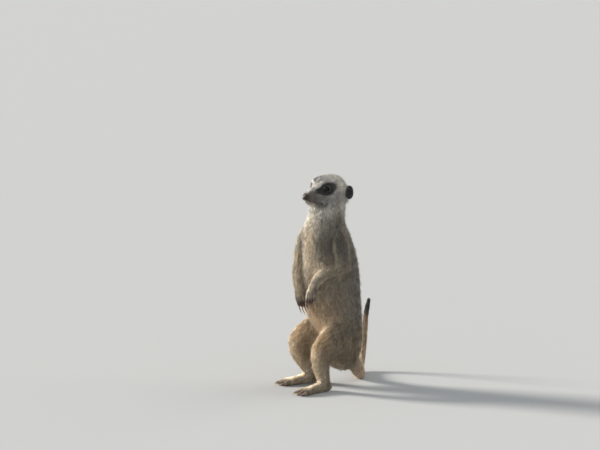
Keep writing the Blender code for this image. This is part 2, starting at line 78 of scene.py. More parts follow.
LIPS = ((-6, -15.6), (0, -17.2), (6, -18.0), (13.5, -18.0), (18, -16.8), (22, -14.7),
        (26, -12.6))  # distance ahead of the eyes, and height

# rounded places behind the head, in the body's axes
SKULL_BACK = ((1.5, 33, 253), (16, 9, 10))
NAPE = ((1.5, 23, 240), (22, 9, 8))
NAPE_COAT = ((1.5, 26, 236), (27, 15, 14))
NAPE_FRINGE = ((1.5, 29, 247), (24, 13, 12))

GRAIN = 1.36  # mesh size of the skin before refining
OVERLAP = 0.24  # closes the thin cuts between the solids

ACROSS_HAND = {"left": (0.86, 0.5, 0.1), "right": (0.9, 0.42, 0.1)}
FINGER_LENGTHS = (0.90, 1.0, 1.0, 0.86)
FINGER_SPACING, FINGER_SPREAD = 3.2, 0.7
FEET = {  # the heel's place and how far the foot turns out
    "left": ((27.5, -12, 0), math.radians(6)),
    "right": ((-27.5, 6, 0), math.radians(9)),
}
TOE_LENGTHS = (54.5, 58.0, 57.5, 53.5)
TOE_ROOTS = (40, 3.9, 4.4)  # ahead of the heel, spacing and height
TOE_ENDS = (-2, 4.9, 2.6)  # ahead of the length, spacing and height
CLAWS = {  # place ahead of the digit's tip and above it, length and radius
    "hand": (2.1, 0, 11.5, 1.15),
    "foot": (2.5, 1.4, 7.5, 1.15),
}
CLAW_BEND = math.radians(38)
CLAW_ROOTS = (2.1, 0.9)  # how deep the root's end and its edge sit
CLAW_RINGS, CLAW_SIDES = 14, 16

# the way the coat lies: lines through the body, x, y, z and radius, the head's in its axes;
# an arm's line ends at the knuckles and the finger tips
TRUNK_LINE = (
    (0, 8, 252, 18), (0, 2, 238, 22), (0, -1, 219, 25), (0, -3, 200, 30), (0, 3, 178, 34),
    (0, 8, 150, 36), (0, 11, 110, 37), (0, 14, 88, 36), (0, 18, 68, 32), (0, 24, 44, 24),
)
HEAD_LINE = (
    (0, -25, -9.5, 5), (0, -14, -9, 9), (0, 0, -6, 14), (0, 14, -3, 19), (0, 27, -4, 20),
)
TAIL_LINE = (
    (0, 36, 34, 12), (0, 42, 27, 10.5), (-4, 52, 14.5, 8.6), (-14, 62, 7.0, 7.6),
    (-34, 76, 5.6, 6.6), (-53, 91, 8.5, 5.8), (-62, 101, 24, 5.2), (-65, 106, 46, 4.6),
    (-65, 108, 68, 4.0), (-64, 110.5, 84, 3.5), (-63, 112, 93, 2.8),
)
ARM_LINES = {
    "left": ((22, -3, 205, 13), (29, -2, 190, 14), (32, 0, 175, 12.5), (33.5, 1, 161, 10.5),
             (29, -11, 158.5, 10), (23, -24, 152, 8.6), (18, -32, 141, 6.6),
             (15.5, -36, 128, 7.5), (12, -34.8, 114, 7)),
    "right": ((-22, -8, 205, 13), (-28, -11, 193, 14), (-31, -16, 178, 11.5),
              (-32, -19, 166, 10), (-29, -24.5, 153, 9), (-23.8, -29, 140, 8.2),
              (-18.2, -32, 129, 7), (-13, -33.8, 118.5, 7.5), (-7.5, -32.6, 106.5, 7)),
}
LEG_LINES = {
    "left": ((22, 12, 66, 24), (25, -1, 64, 24), (28, -13, 60, 21), (29.5, -27, 54, 16),
             (29.5, -31, 42, 13), (29, -29, 28, 10.5), (28.2, -30, 14, 8.5),
             (29.5, -44, 7, 7.5), (31, -56, 4.5, 7.5), (32.5, -68, 3, 4)),
    "right": ((-22, 13, 68, 24), (-25, 2, 67, 24), (-28, -9, 64, 21), (-29.5, -21, 58, 16),
              (-29.5, -22, 43, 12.5), (-29, -14, 29, 10.5), (-28.5, -12, 14, 8.5),
              (-31, -26, 7, 7.5), (-33, -38, 4.5, 7.5), (-35, -50, 3, 4)),
}

# how deep the coat is and how long its tufts are: by the share of the way along each line
# and, on the head, by the distance behind the eyes
COAT_DEPTH = {
    "head": ((-24, 0.25), (-18, 0.5), (-4, 0.9), (10, 1.7), (26, 2.2)),
    "trunk": ((0, 2.4), (0.2, 3.4), (0.5, 3.8), (1, 4.0)),
    "tail": ((0, 3.0), (0.3, 1.7), (1, 1.1)),
    "arm": ((0, 3.4), (0.35, 2.8), (0.7, 1.5), (0.85, 0.7), (1, 0.35)),
    "leg": ((0, 3.8), (0.35, 3.2), (0.6, 1.8), (0.75, 0.9), (1, 0.4)),
}
TUFT_LENGTH = {
    "head": ((-24, 1.3), (-14, 2.0), (0, 2.9), (12, 4.2), (26, 6.5), (38, 9.0)),
    "trunk": ((0, 7.0), (0.15, 9.5), (0.4, 12.0), (1, 13.0)),
    "tail": ((0, 10), (0.2, 6.5), (1, 5.5)),
    "arm": ((0, 10), (0.4, 7.5), (0.7, 4.6), (1, 2.2)),
    "leg": ((0, 12), (0.35, 9), (0.65, 5), (1, 2.2)),
}
REGIONS = tuple(COAT_DEPTH)
SHORT = 4.6  # tufts shorter than this are straight
BENT_FACES, STRAIGHT_FACES = 9, 3  # triangles of one tuft
MOST_FACES = 190000  # in one piece
COAT_FACES = 1450000  # in all
PATCH_SIZE = 0.003  # of a tuft on the skin's unwrap
BAND_SPACING = 15.5


def colour(red, green, blue):
    """A colour given in ordinary display values, as linear light."""
    values = np.array((red, green, blue)) / 255
    return np.where(values <= 0.04045, values / 12.92, ((values + 0.055) / 1.055) ** 2.4)


WHITE = colour(224, 218, 206)
CREAM = colour(234, 217, 188)
TAN = colour(172, 155, 130)
GOLD = colour(202, 170, 128)
GREY_BROWN = colour(138, 130, 118)
FLANK = colour(156, 138, 113)
BAND = colour(74, 62, 51)
CROWN = colour(204, 198, 189)
# a grey of the forehead, also used as painted shade on the cheeks and the sides of the muzzle
FACE_GREY_AND_SHADE = colour(152, 150, 148)
PATCH = colour(70, 68, 66)
MUZZLE = colour(88, 70, 54)
NOSE_PAD = colour(56, 42, 37)
TIP_BLACK = colour(40, 30, 24)
DIGIT = colour(104, 80, 62)
PINK = colour(196, 158, 138)
PUPIL_BLACK = colour(9, 7, 6)
IRIS_BROWN = colour(24, 15, 9)
EYE_OUTER = colour(30, 22, 18)
CLAW_ROOT = colour(122, 100, 86)
CLAW_END = colour(206, 186, 160)


# ---------------- tools
def ramp(values, low, high):
    """Rises smoothly from 0 at low to 1 at high."""
    t = np.clip((values - low) / (high - low), 0, 1)
    return t * t * (3 - 2 * t)


def bump(values, middle, half_width):
    """1 at the middle, falling smoothly to 0 at half_width to either side."""
    return 1 - ramp(np.abs(values - middle), 0, half_width)


def away_from(points, middle, sizes=1):
    """How far each point is from a place, with the place's half sizes as units."""
    return np.linalg.norm((points - middle) / sizes, axis=1)


def near_place(points, middle, sizes):
    """1 at a place, fading to 0 at an ellipsoid round it."""
    return 1 - ramp(away_from(points, middle, sizes), 0.25, 1.0)


def at_side(sign, point):
    """A point given for the left side, mirrored for the right."""
    return (sign * point[0], *point[1:])


def nearer(points, middle, sizes=1):
    """How far each point is from the nearer of two places that mirror each other."""
    away = [away_from(points, at_side(sign, middle), sizes) for sign in SIDES.values()]
    return np.minimum(*away)


def ripple(points, wavelength, seed):
    """A smooth irregular pattern between about -1 and 1."""
    chance = np.random.default_rng(seed)
    total = np.zeros(len(points))
    for _ in range(7):
        way = chance.normal(size=3)
        way *= 2 * math.pi / (wavelength * chance.uniform(0.7, 1.5) * np.linalg.norm(way))
        total += np.sin(points @ way + chance.uniform(0, 2 * math.pi))
    return np.clip(total / 3.2, -1, 1)


def unit(vectors):
    """Rows scaled to length 1."""
    return vectors / np.maximum(np.linalg.norm(vectors, axis=1), 1e-9)[:, None]


def dots(one, two):
    """Dot products row by row."""
    return np.einsum("ij,ij->i", one, two)


def raised(points, normals, heights):
    """Points moved outwards along their normals."""
    return points + normals * heights[:, None]


def laid_down(ways, normals):
    """Directions turned to lie along the surface."""
    return unit(raised(ways, normals, -dots(ways, normals)))


def rows(items, key, width, kind=np.float32):
    """One property of each item of a mesh, as rows of numbers."""
    found = np.empty(width * len(items), kind)
    items.foreach_get(key, found)
    return found.reshape(-1, width)


def put(items, key, values, kind=np.float32):
    """Sets one property of each item of a mesh."""
    items.foreach_set(key, np.asarray(values, kind).ravel())


def made_mesh(name, form):
    """A mesh of a bmesh form."""
    mesh = bpy.data.meshes.new(name)
    form.to_mesh(mesh)
    form.free()
    return mesh


def made_object(name, data):
    """A new object in the scene."""
    thing = bpy.data.objects.new(name, data)
    bpy.context.scene.collection.objects.link(thing)
    return thing


def points_of(mesh):
    """Every vertex of a mesh as a row."""
    return rows(mesh.vertices, "co", 3).astype(float)


def normals_of(mesh):
    """Every vertex normal of a mesh as a row."""
    return rows(mesh.vertex_normals, "vector", 3).astype(float)


def edges_of(mesh):
    """Every edge of a mesh as a pair of vertex numbers."""
    return rows(mesh.edges, "vertices", 2, np.int32)


def triangles_of(mesh):
    """Every triangle of a mesh: its vertices and its corners."""
    mesh.calc_loop_triangles()
    found = mesh.loop_triangles
    return rows(found, "vertices", 3, np.int32), rows(found, "loops", 3, np.int32)


def put_points(mesh, points):
    """Moves a mesh's vertices."""
    put(mesh.vertices, "co", points)
    mesh.update()


def averaged(values, edges):
    """The mean of each vertex's neighbours."""
    one, two = edges.T
    n = len(values)
    count = np.bincount(one, minlength=n) + np.bincount(two, minlength=n)
    columns = values.reshape(n, -1)
    total = np.empty_like(columns)
    for k in range(columns.shape[1]):
        total[:, k] = np.bincount(one, columns[two, k], n)
        total[:, k] += np.bincount(two, columns[one, k], n)
    return (total / np.maximum(count, 1)[:, None]).reshape(values.shape)


def smooth(mesh, rounds):
    """Smooths a surface without shrinking it."""
    points, edges = points_of(mesh), edges_of(mesh)
    for _ in range(rounds):
        for step in (0.5, -0.53):
            points = points + step * (averaged(points, edges) - points)
    put_points(mesh, points)


HEAD = Matrix.Translation(HEAD_PLACE) @ Matrix.Rotation(HEAD_TURN, 4, "Z")
HEAD_AXES = np.array(HEAD.to_3x3())


def to_head(points):
    """Points in the head's axes."""
    return (points - np.array(HEAD_PLACE)) @ HEAD_AXES


def from_head(points):
    """The other way."""
    return points @ HEAD_AXES.T + np.array(HEAD_PLACE)


def find_origin():
    """Where the body's own axes start in the frame, in metres, from the eyes' boxes."""
    middle = Vector()
    for side in SIDES:
        low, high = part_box("eye_" + side)
        middle += (low + high) / 4
    return middle - MM * (HEAD @ Vector((0, EYE_PLACE[1], EYE_PLACE[2])))


ORIGIN = find_origin()


def into_frame(mesh):
    """Takes a mesh from millimetres in the body's axes to metres in the frame."""
    mesh.transform(Matrix.Translation(ORIGIN) @ Matrix.Scale(MM, 4))


# ---------------- the way the coat lies
def line_samples(line):
    """Close points along a line, with the radius, the way ahead and the share of the way."""
    line = np.array(line, float)
    samples = []
    for k, (one, two) in enumerate(zip(line, line[1:])):
        for t in np.arange(0, 1, 0.25):
            ahead = two[:3] - one[:3]
            ahead /= np.linalg.norm(ahead)
            samples.append((*(one * (1 - t) + two * t), *ahead, (k + t) / (len(line) - 1)))
    return np.array(samples)


def body_lines():
    """Samples of the named lines that the coat follows."""
    head = np.array(HEAD_LINE, float)
    head[:, :3] = from_head(head[:, :3])
    lines = {"head": head, "trunk": TRUNK_LINE, "tail": TAIL_LINE}
    for side in SIDES:
        lines["arm_" + side] = ARM_LINES[side]
        lines["leg_" + side] = LEG_LINES[side]
    return {name: line_samples(line) for name, line in lines.items()}


def follow_lines(points):
    """For each point the way the coat lies, its share of each line and how far along it."""
    shares = {}
    along = {}
    way = np.zeros((len(points), 3))
    for name, samples in body_lines().items():
        shares[name] = np.zeros(len(points))
        along[name] = np.zeros(len(points))
        for *place, radius, dx, dy, dz, t in samples:
            gap = points - place
            pull = 1 / (0.12 + dots(gap, gap) / radius ** 2) ** 4
            shares[name] += pull
            along[name] += pull * t
            way += pull[:, None] * (dx, dy, dz)
        along[name] /= shares[name]
    total = sum(shares.values())
    for name in shares:
        shares[name] /= total
    for limb in ("arm", "leg"):
        pair = [limb + "_" + side for side in SIDES]
        shares[limb] = sum(shares[name] for name in pair)
        reached = sum(along[name] * shares[name] for name in pair)
        along[limb] = reached / np.maximum(shares[limb], 1e-9)
    hip = shares["leg"] * (1 - ramp(along["leg"], 0.2, 0.5))
    return unit(unit(way) + hip[:, None] * (0, 0, -0.9)), shares, along


def by_region(table, q, along):
    """A measure of the coat for each region, as its table says."""
    found = {}
    for name, steps in table.items():
        place = q[:, 1] if name == "head" else along[name]
        found[name] = np.interp(place, *zip(*steps))
    return found


def blended(measures, shares):
    """One measure from those of all regions that each point has a share in."""
    return sum(shares[name] * values for name, values in measures.items())


def on_limbs(shares, low=0.25, high=0.5):
    """1 on arms and legs, 0 away from them."""
    return ramp(shares["arm"] + shares["leg"], low, high)


def limb_edge(shares, limb):
    """1 along the fold where a limb leaves the trunk, 0 away from it."""
    part = shares[limb] / np.maximum(shares[limb] + shares["trunk"], 1e-9)
    return np.exp(-((part - 0.5) / 0.11) ** 2) * ramp(shares[limb] + shares["trunk"], 0.6, 0.9)


# ---------------- fingers and toes
def finger(side, number):
    """Root and tip of one finger, and the way out of the back of the hand."""
    knuckles, tips = (Vector(row[:3]) for row in ARM_LINES[side][-2:])
    across = Vector(ACROSS_HAND[side]).normalized()
    offset = number - (DIGITS - 1) / 2
    root = knuckles + across * offset * FINGER_SPACING
    tip = root + (tips - knuckles) * FINGER_LENGTHS[number] + across * offset * FINGER_SPREAD
    up = across.cross((tip - root).normalized()).normalized()
    return root, tip, -up if up.y > 0 else up


def toe(side, number):
    """Root and tip of one toe, and the way up."""
    heel, splay = FEET[side]
    turn = Matrix.Rotation(SIDES[side] * splay, 3, "Z")
    order = number if SIDES[side] > 0 else DIGITS - 1 - number
    offset = number - (DIGITS - 1) / 2
    found = []
    for length, (more, spacing, height) in ((0, TOE_ROOTS), (TOE_LENGTHS[order], TOE_ENDS)):
        place = turn @ Vector((offset * spacing, -length - more, 0))
        found.append(Vector(heel) + place + Vector((0, 0, height)))
    return (*found, Vector((0, 0, 1)))


def digit_lines():
    """Root, tip, way up, side, kind and number of every finger and toe."""
    kinds = (("hand", finger), ("foot", toe))
    return [(*place(side, number), side, kind, number)
            for side in SIDES for number in range(DIGITS) for kind, place in kinds]


def digit_distances(points):
    """How far each point is from the nearest and the next line through a finger or a toe."""
    nearest = np.full(len(points), 99.0)
    second = nearest.copy()
    for root, tip, *_ in digit_lines():
        run = np.array(tip - root)
        gap = points - np.array(root)
        t = np.clip(gap @ run / (run @ run), 0, 1)
        away = np.linalg.norm(gap - np.outer(t, run), axis=1)
        second = np.minimum(second, np.maximum(away, nearest))
        nearest = np.minimum(nearest, away)
    return nearest, second


def digit_ends(points, near, far):
    """1 at the tips of fingers and toes, 0 away from them."""
    away = [away_from(points, np.array(tip)) for _, tip, *_ in digit_lines()]
    return 1 - ramp(np.min(away, axis=0), near, far)


def press_groove(points, normals, one, two):
    """A groove between two neighbouring digits."""
    start = np.array((one[0] + two[0]) / 2)
    run = np.array((one[1] + two[1]) / 2) - start
    t = (points - start) @ run / (run @ run)
    gap = points - start - np.outer(np.clip(t, -0.2, 1.3), run)
    up = np.array(one[2])
    away = np.linalg.norm(gap - np.outer(gap @ up, up), axis=1)
    near = np.linalg.norm(gap, axis=1) < 8
    depth = 1.5 * np.exp(-(away / 0.75) ** 2) * ramp(t, -0.1, 0.4) * near
    return raised(points, normals, -depth)


def part_digits(points, normals):
    """Presses grooves between fingers and between toes."""
    lines = digit_lines()
    for one, two in zip(lines, lines[2:]):
        if one[3] == two[3]:
            points = press_groove(points, normals, one, two)
    return points


# ---------------- the skin's surface
def flesh_nodes():
    """The nodes that the skin stands for."""
    return [name for name in sorted(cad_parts) if name.split("_")[0] not in ("eye", "claw")]


def joined_flesh():
    """All flesh in one mesh, swollen just enough to close the cuts, with its sockets filled."""
    bm = bmesh.new()
    to_body = Matrix.Scale(1 / MM, 4) @ Matrix.Translation(-ORIGIN)
    for name in flesh_nodes() + ["eye_" + side for side in SIDES]:
        part = bmesh.new()
        part.from_mesh(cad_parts[name].data)
        bmesh.ops.remove_doubles(part, verts=part.verts, dist=1e-6)
        part.transform(to_body)
        part.normal_update()
        for vertex in part.verts:
            vertex.co += vertex.normal * OVERLAP
        mesh = made_mesh("part", part)
        bm.from_mesh(mesh)
        bpy.data.meshes.remove(mesh)
    return made_mesh("flesh", bm)


def remeshed(mesh):
    """One closed surface round everything in a mesh."""
    thing = made_object("skin", mesh)
    remesh = thing.modifiers.new("weld", "REMESH")
    remesh.mode = "VOXEL"
    remesh.voxel_size = GRAIN
    bpy.context.view_layer.update()
    evaluated = thing.evaluated_get(bpy.context.evaluated_depsgraph_get())
    made = bpy.data.meshes.new_from_object(evaluated)
    thing.modifiers.clear()
    thing.data = made
    return thing


def refine(mesh, wanted):
    """Divides the edges between wanted points, and with them the faces there into four."""
    bm = bmesh.new()
    bm.from_mesh(mesh)
    bm.edges.ensure_lookup_table()
    chosen = np.flatnonzero(wanted[edges_of(mesh)].all(axis=1))
    edges = [bm.edges[k] for k in chosen]
    bmesh.ops.subdivide_edges(bm, edges=edges, cuts=1, use_grid_fill=True)
    bm.to_mesh(mesh)
    bm.free()
    mesh.update()


def fine_area(points):
    """Head, hands and feet, which carry small forms."""
    q = to_head(points)
    face = (q[:, 1] < 11) & (q[:, 2] > -23)
    nearest, _ = digit_distances(points)
    return face | (nearer(q, EAR_PLACE) < 14) | (nearest < 6)


def face_area(points):
    """Eyes, nose and mouth, which carry the smallest forms."""
    q = to_head(points)
    nose = away_from(q, (0, -22, -11)) < 11
    eyes = nearer(q, (EYE_PLACE[0], -2, EYE_PLACE[2])) < 9.5
    return nose | eyes | (mouth_distance(q) < 1.6)


def make_surface():
    """The outside of the solids of flesh as one surface, finer where small forms are."""
    skin = remeshed(joined_flesh())
    mesh = skin.data
    smooth(mesh, 7)
    refine(mesh, fine_area(points_of(mesh)))
    smooth(mesh, 3)
    refine(mesh, face_area(points_of(mesh)))
    smooth(mesh, 2)
    return skin


def coat_depth(points, shares, along):
    """How deep the coat is, from the skin out to the tips of the fur."""
    q = to_head(points)
    depths = by_region(COAT_DEPTH, q, along)
    depths["head"] = np.where(away_from(q, NOSE_TIP[0]) < 4.5, 0.12, depths["head"])
    depth = blended(depths, shares)
    clear = ramp(nearer(q, EAR_PLACE), 8, 14)
    depth = depth * clear + 0.35 * (1 - clear)
    nearest, _ = digit_distances(points)
    thin = 0.1 + 4 * ramp(nearest, 3.5, 13) - 0.3 * digit_ends(points, 2.2, 4.5)
    limb = on_limbs(shares)
    return depth * (1 - limb) + np.minimum(depth, thin) * limb


# ---------------- the face
def mouth_line(q):
    """The height of the lips at each distance ahead of the eyes."""
    return np.interp(-q[:, 1], *zip(*LIPS))


def mouth_distance(q):
    """How far above or below the line of the lips a point of the head is."""
    behind = np.maximum(q[:, 1] - 5, 0)
    middle = np.maximum(4 - np.abs(q[:, 0]), 0) * ramp(q[:, 1], -22, -14)
    return np.abs(q[:, 2] - mouth_line(q)) + behind + middle * 2


def eye_axes(sign):
    """An eye's way out, its way along the lids and its way up, in the head's axes."""
    out = Vector((sign * math.sin(EYE_AIM), -math.cos(EYE_AIM), 0.06)).normalized()
    side = Vector((0, 0, 1)).cross(out).normalized()
    return np.array(out), np.array(side), np.array(out.cross(side))


def eye_gaps(q, sign):
    """How far each point is from an eye's middle: outwards, along the lids and upwards."""
    gap = q - at_side(sign, EYE_PLACE)
    return [gap @ axis for axis in eye_axes(sign)]


def set_lids(q):
    """Draws the skin close over the eyeballs and opens it between the lids."""
    for sign in SIDES.values():
        ahead, x, y = eye_gaps(q, sign)
        ratio = np.hypot(x / EYE_OPENING[0], (y + 0.10 * x * sign) / EYE_OPENING[1])
        across = x ** 2 + y ** 2
        over = np.sqrt(np.maximum((EYE_RADIUS + LID) ** 2 - across, 0.2))
        under = np.sqrt(np.maximum((EYE_RADIUS - 1.4) ** 2 - across, 0.2))
        margin = 0.16 * np.exp(-((ratio - 1.12) / 0.16) ** 2)
        close = (1 - ramp(ratio, 1.05, 2.0)) * (ahead > 0) * (across < 110)
        wanted = ahead + (over + margin - ahead) * close
        opened = 1 - ramp(ratio, 0.90, 1.02)
        wanted = wanted + (under - wanted) * opened * (ahead > 0)
        fold = 0.35 * np.exp(-((ratio - 1.62) / 0.14) ** 2) * ramp(y, 0, 2) * (ahead > 0)
        q = q + np.outer(wanted - ahead - fold, eye_axes(sign)[0])
    return q


def set_nose(q, normals):
    """The bare pad, its nostrils and the groove under it."""
    hole = 1 - ramp(nearer(q, *NOSTRIL), 0.2, 1.15)
    wing = 1 - ramp(nearer(q, *NOSE_WING), 0.3, 1.4)
    q = raised(q, normals, 0.45 * wing - 1.5 * hole)
    groove = np.exp(-(q[:, 0] / 0.38) ** 2) * bump(q[:, 2], -12.8, 3.2) * (q[:, 1] < -20)
    q = raised(q, normals, -0.55 * groove)
    crease = np.exp(-((away_from(q, *PAD_CREASE) - 1.08) / 0.09) ** 2) * (q[:, 1] < -19)
    return raised(q, normals, -0.22 * crease)


def set_mouth(q, normals):
    """The slit between the lips and a little fullness of the lips beside it."""
    for sign in SIDES.values():
        gap = mouth_distance(q)
        half = (q[:, 0] * sign > -0.5) & (q[:, 2] > -24)
        slit = np.exp(-(gap / 0.42) ** 2) * half
        lips = np.exp(-((gap - 1.5) / 0.7) ** 2) * half
        q = raised(q, normals, 0.22 * lips - 1.0 * slit)
    return q


def set_ears(q):
    """Hollows the ears out behind their rims and raises the folds in them."""
    for sign in SIDES.values():
        axes = np.array(Matrix.Rotation(-sign * EAR_FLARE, 3, "Z"))
        gap = (q - at_side(sign, EAR_PLACE)) @ axes
        out, back, up = gap[:, 0] * sign, gap[:, 1], gap[:, 2]
        cup = np.hypot((back + 1.4) / 4.6, (up - 0.2) / 7.8)
        inner = ramp(out, 0.2, 1.4) * (np.hypot(back / 7.5, up / 12) < 1.15)
        fold = np.exp(-((up - 1.0 + 0.35 * back) / 1.0) ** 2) * bump(back, -0.5, 4.2)
        fold += np.exp(-((up + 3.6 + 0.2 * back) / 0.9) ** 2) * bump(back, -0.5, 3.6)
        dent = 2.3 * (1 - ramp(cup, 0.45, 1.0)) * inner
        rise = 1.1 * fold * (1 - ramp(cup, 0.6, 1.0)) * inner
        q = q + np.outer((rise - dent) * sign, axes[:, 0])
    return q


# ---------------- skin
def shape_body(points, outer, normals, shares):
    """Digits, the folds where the limbs leave the trunk, and the way from skull to neck."""
    points = part_digits(points, normals)
    fold = 2.2 * limb_edge(shares, "arm") + 0.7 * limb_edge(shares, "leg")
    points = raised(points, normals, -fold * ramp(outer[:, 2], 60, 80))
    nape = 1.8 * near_place(outer, *NAPE) - 3.2 * near_place(outer, *SKULL_BACK)
    return raised(points, normals, nape)


def shape_head(points, normals):
    """Nose, mouth, ears and lids."""
    q = to_head(points)
    head = q[:, 2] > -26
    normals = normals @ HEAD_AXES
    q = set_mouth(set_nose(q, normals), normals)
    q = set_lids(set_ears(q))
    return np.where(head[:, None], from_head(q), points)


def make_skin():
    """The whole skin, and what each of its points knows about the coat."""
    skin = make_surface()
    mesh = skin.data
    outer, normals, edges = points_of(mesh), normals_of(mesh), edges_of(mesh)
    way, shares, along = follow_lines(outer)
    depth = coat_depth(outer, shares, along)
    for _ in range(6):
        normals = unit(0.5 * normals + 0.5 * averaged(normals, edges))
        depth = 0.5 * depth + 0.5 * averaged(depth, edges)
    points = raised(outer, normals, -(depth + OVERLAP))
    points = shape_head(shape_body(points, outer, normals, shares), normals)
    points[:, 2] = np.maximum(points[:, 2], 0.05)
    put_points(mesh, points)
    normals = normals_of(mesh)
    way = laid_down(way, normals)
    for _ in range(10):
        way = laid_down(0.5 * way + 0.5 * averaged(way, edges), normals)
    fields = {"way": way, "depth": depth, "normal": normals, "bare": bare_skin(outer)}
    fields["colour"] = markings(outer, normals, shares, along)
    fields["region"] = np.argmax([shares[name] for name in REGIONS], axis=0)
    fields.update(tuft_sizes(outer, shares, along))
    return skin, fields


# ---------------- markings
def eye_patch(q):
    """The dark patch round each eye, drawn out towards the nose."""
    mask = np.zeros(len(q))
    for sign in SIDES.values():
        ahead, x, y = eye_gaps(q, sign)
        x = x * -sign
        length = np.where(x > 0, 16.0, 13.0)
        height = np.where(y > 0, 8.4 - 5.5 * ramp(x, 2, 14), 8.6 - 3.0 * ramp(np.abs(x), 3, 14))
        shape = (np.abs(x / length) ** 2.2 + np.abs((y + 0.22 * x) / height) ** 2.2) ** (1 / 2.2)
        near = (ahead > -13) * (q[:, 0] * sign > EYE_PLACE[0] - 9)
        mask = np.maximum(mask, (1 - ramp(shape, 0.84, 1.10)) * near)
    return mask


def ear_mask(q):
    """The dark ears."""
    return 1 - ramp(nearer(q, *EAR_MARK), 0.90, 1.16)


def bare_skin(points):
    """Where no fur grows: nose pad, rims of the lids and tips of fingers and toes."""
    q = to_head(points)
    bare = 1 - ramp(away_from(q, *PAD), 0.92, 1.1)
    for sign in SIDES.values():
        ahead, x, y = eye_gaps(q, sign)
        ratio = np.hypot(x / EYE_OPENING[0], y / EYE_OPENING[1])
        bare = np.maximum(bare, (1 - ramp(ratio, 1.12, 1.3)) * (ahead > 0))
    return np.maximum(bare, digit_ends(points, 2.0, 3.4))


class Paint:
    """The colours of the coat in linear light, laid on in layers over tan."""

    def __init__(self, points, normals, shares, along):
        self.looks = np.tile(TAN, (len(points), 1))
        self.points, self.normals, self.shares, self.along = points, normals, shares, along
        self.height, self.forward = points[:, 2], -normals[:, 1]
        self.inward = -normals[:, 0] * np.sign(points[:, 0])
        self.front = ramp(self.forward, 0.1, 0.8)
        self.cloud, self.fleck = ripple(points, 22, 3), ripple(points, 7, 4)
        self.q = to_head(points)
        self.lip = self.q[:, 2] - mouth_line(self.q)
        head = ramp(self.q[:, 2], -34, -22) * (1 - ramp(self.q[:, 1], 30, 46))
        self.head = np.maximum(head, shares["head"])

    def __call__(self, new, mask):
        """One more layer, as thick as the mask says."""
        mask = np.clip(mask, 0, 1)[:, None]
        self.looks = self.looks * (1 - mask) + new * mask


def paint_trunk(paint):
    """Grey-brown back, golden belly and pale breast."""
    body, front, height = paint.shares["trunk"], paint.front, paint.height
    back = ramp(0.12 * paint.cloud - paint.forward, -0.35, 0.45)
    paint(GREY_BROWN, (0.45 + 0.55 * back) * body)
    paint(CREAM, 0.60 * ramp(paint.forward, 0.35, 0.9) * body * ramp(height, 120, 190))
    paint(GOLD, 0.80 * front * body * (1 - ramp(height, 95, 150)))
    paint(CREAM, 0.50 * front * body * (1 - ramp(height, 85, 120)))


def paint_legs(paint):
    """Grey-brown thighs, warmer low down, golden in front, on pale shanks and feet."""
    leg, body = paint.shares["leg"], paint.shares["trunk"]
    thigh = 1 - ramp(paint.along["leg"], 0.3, 0.65)
    paint(GREY_BROWN, leg * thigh * ramp(paint.height, 62, 84))
    low = 1 - ramp(paint.height + 4 * paint.cloud, 52, 104)
    paint(FLANK, 0.8 * low * (1 - 0.9 * paint.front) * np.clip(body + leg * thigh, 0, 1))
    paint(GOLD, 0.9 * leg * paint.front)
    paint(GOLD, 0.35 * leg * ramp(paint.inward, -0.3, 0.6))
    paint(CREAM, 0.95 * leg * (1 - thigh) * ramp(paint.forward, -0.6, 0.3))
    paint(CREAM, 0.5 * leg * thigh * ramp(paint.forward, 0.5, 0.9))


def paint_arms(paint):
    """Arms pale inside, in front and below, under grey-brown shoulders darkened with painted
    shade.
    """
    arm, body = paint.shares["arm"], paint.shares["trunk"]
    inner = ramp(paint.inward, -0.4, 0.6)
    paint(TAN, 0.85 * arm * ramp(paint.along["arm"], 0.1, 0.4))
    paint(GREY_BROWN * 0.85, 0.6 * arm * (1 - inner))
    paint(CREAM, 0.85 * arm * inner)
    paint(CREAM, 0.5 * arm * ramp(paint.forward, 0.35, 0.9))
    paint(CREAM, 0.80 * arm * ramp(-paint.normals[:, 2], 0.0, 0.8))
    # painted shade: the sides of the shoulders and upper arms are darkened well below their
    # grizzled grey-brown
    shoulder_shade = bump(paint.height, 196, 40) * ramp(np.abs(paint.normals[:, 0]), 0.15, 0.65)
    shoulder_shade = 0.78 * shoulder_shade * ramp(paint.forward, -0.6, 0.0)
    paint(GREY_BROWN * 0.42, shoulder_shade * (body + arm))


def paint_bands(paint):
    """Short dark bands across the back."""
    bend = 5.0 * ripple(paint.points * (1, 1, 0.3), 30, 8)
    place = paint.height + bend - 0.10 * np.abs(paint.points[:, 0])
    wave = np.cos(2 * math.pi * place / BAND_SPACING)
    stripes = ramp(wave + 0.25 * paint.fleck, -0.05, 0.75)
    saddle = ramp(-paint.forward, 0.20, 0.72)
    reach = ramp(paint.height, 40, 62) * (1 - ramp(paint.height, 178, 205))
    body = np.clip(paint.shares["trunk"] + paint.shares["leg"], 0, 1)
    paint(BAND, 0.68 * stripes * saddle * reach * body)


def paint_tail(paint):
    """A golden tail with a dark end."""
    tail = paint.shares["tail"]
    paint(GOLD, 0.55 * tail)
    paint(TIP_BLACK, tail * ramp(paint.along["tail"] + 0.02 * paint.fleck, 0.74, 0.86))


